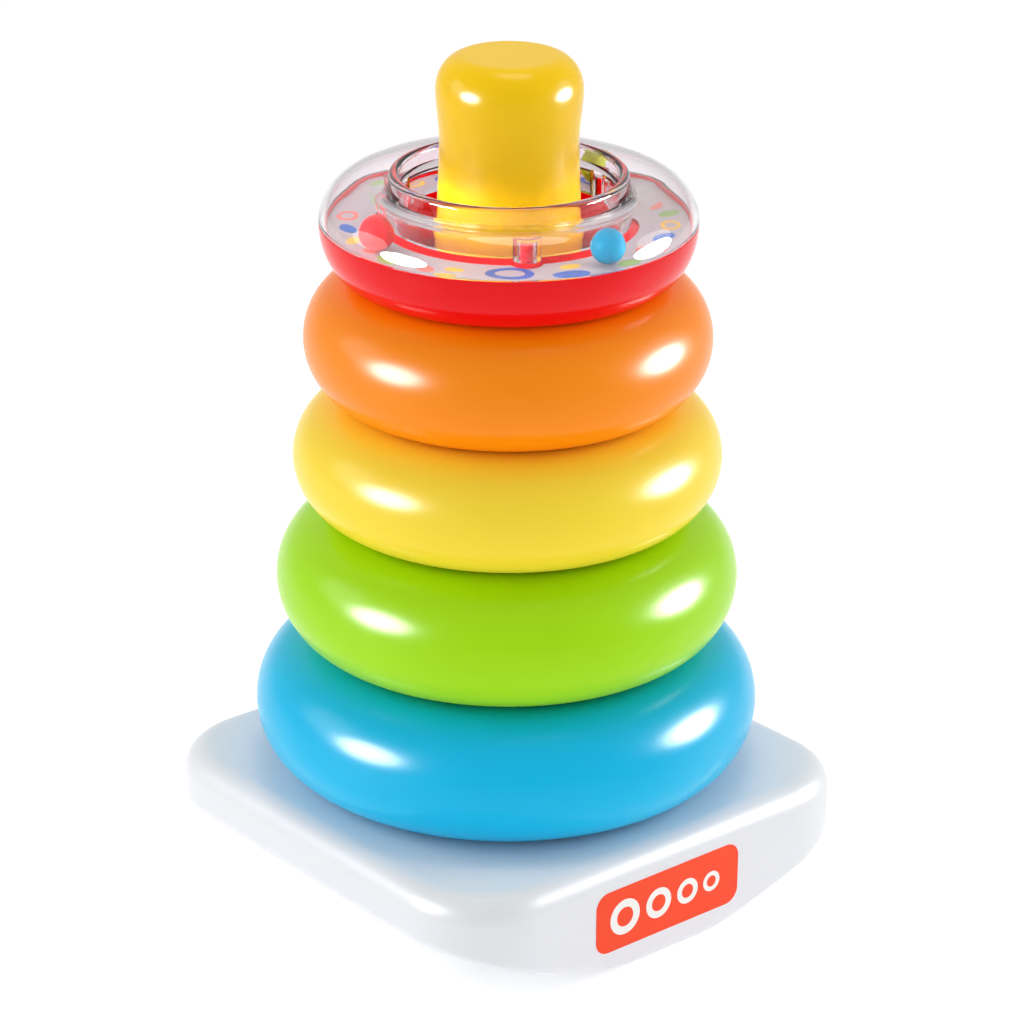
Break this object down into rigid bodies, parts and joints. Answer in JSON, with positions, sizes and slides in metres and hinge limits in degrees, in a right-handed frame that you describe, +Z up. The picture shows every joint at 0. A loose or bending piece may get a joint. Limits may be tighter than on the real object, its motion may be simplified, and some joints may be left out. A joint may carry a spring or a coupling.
{
  "type": "stacking ring toy",
  "caption": "Rocking base with a tapered post that carries hollow rings of falling size and a clear-topped rattle ring with loose beads.",
  "frame": {"origin": "on the floor, under the post's axis, where the flat land of the rocking base rests", "axes": "+Z up along the post, -Y is the front with the label, the base rocks to and fro along X"},
  "size_m": [0.1346, 0.1325, 0.2203],
  "materials": {
    "base_white": "satin, fine moulded",
    "post_yellow": "glossy moulded",
    "ring_blue": "glossy moulded",
    "ring_green": "glossy moulded",
    "ring_yellow": "glossy moulded",
    "ring_orange": "glossy moulded",
    "shell_red": "glossy moulded",
    "cover_clear": "clear glossy",
    "insert_white": "printed satin",
    "bead_red": "glossy",
    "bead_blue": "glossy",
    "bead_green": "glossy",
    "label_orange": "printed satin",
    "screw_steel": "zinc plated"
  },
  "bodies": {
    "base": {"base_shell": "base_white", "base_floor_plate": "base_white", "base_plate_screws": "screw_steel", "post_cone": "post_yellow", "post_screws": "screw_steel", "front_label": "label_orange"},
    "blue": {"blue_ring": "ring_blue"},
    "green": {"green_ring": "ring_green"},
    "yellow": {"yellow_ring": "ring_yellow"},
    "orange": {"orange_ring": "ring_orange"},
    "rattle": {"rattle_lower_shell": "shell_red", "rattle_clear_cover": "cover_clear", "rattle_insert": "insert_white"},
    "red_bead": {"bead_red": "bead_red"},
    "blue_bead": {"bead_blue": "bead_blue"},
    "green_bead": {"bead_green": "bead_green"}
  },
  "joints": [
    {"name": "blue_ring_lift", "type": "slide", "parent": "base", "child": "blue", "axis": [0, 0, 1], "range_m": [0, 0.195]},
    {"name": "green_ring_lift", "type": "slide", "parent": "blue", "child": "green", "axis": [0, 0, 1], "range_m": [0, 0.16]},
    {"name": "yellow_ring_lift", "type": "slide", "parent": "green", "child": "yellow", "axis": [0, 0, 1], "range_m": [0, 0.125]},
    {"name": "orange_ring_lift", "type": "slide", "parent": "yellow", "child": "orange", "axis": [0, 0, 1], "range_m": [0, 0.094]},
    {"name": "rattle_ring_lift", "type": "slide", "parent": "orange", "child": "rattle", "axis": [0, 0, 1], "range_m": [0, 0.062]},
    {"name": "red_bead_roll", "type": "hinge", "parent": "rattle", "child": "red_bead", "pos_m": [0, 0, 0.1782], "axis": [0, 0, 1], "range_deg": [-49, 51]},
    {"name": "blue_bead_roll", "type": "hinge", "parent": "rattle", "child": "blue_bead", "pos_m": [0, 0, 0.1782], "axis": [0, 0, 1], "range_deg": [-19, 81]},
    {"name": "green_bead_roll", "type": "hinge", "parent": "rattle", "child": "green_bead", "pos_m": [0, 0, 0.1782], "axis": [0, 0, 1], "range_deg": [-5, 95]}
  ]
}
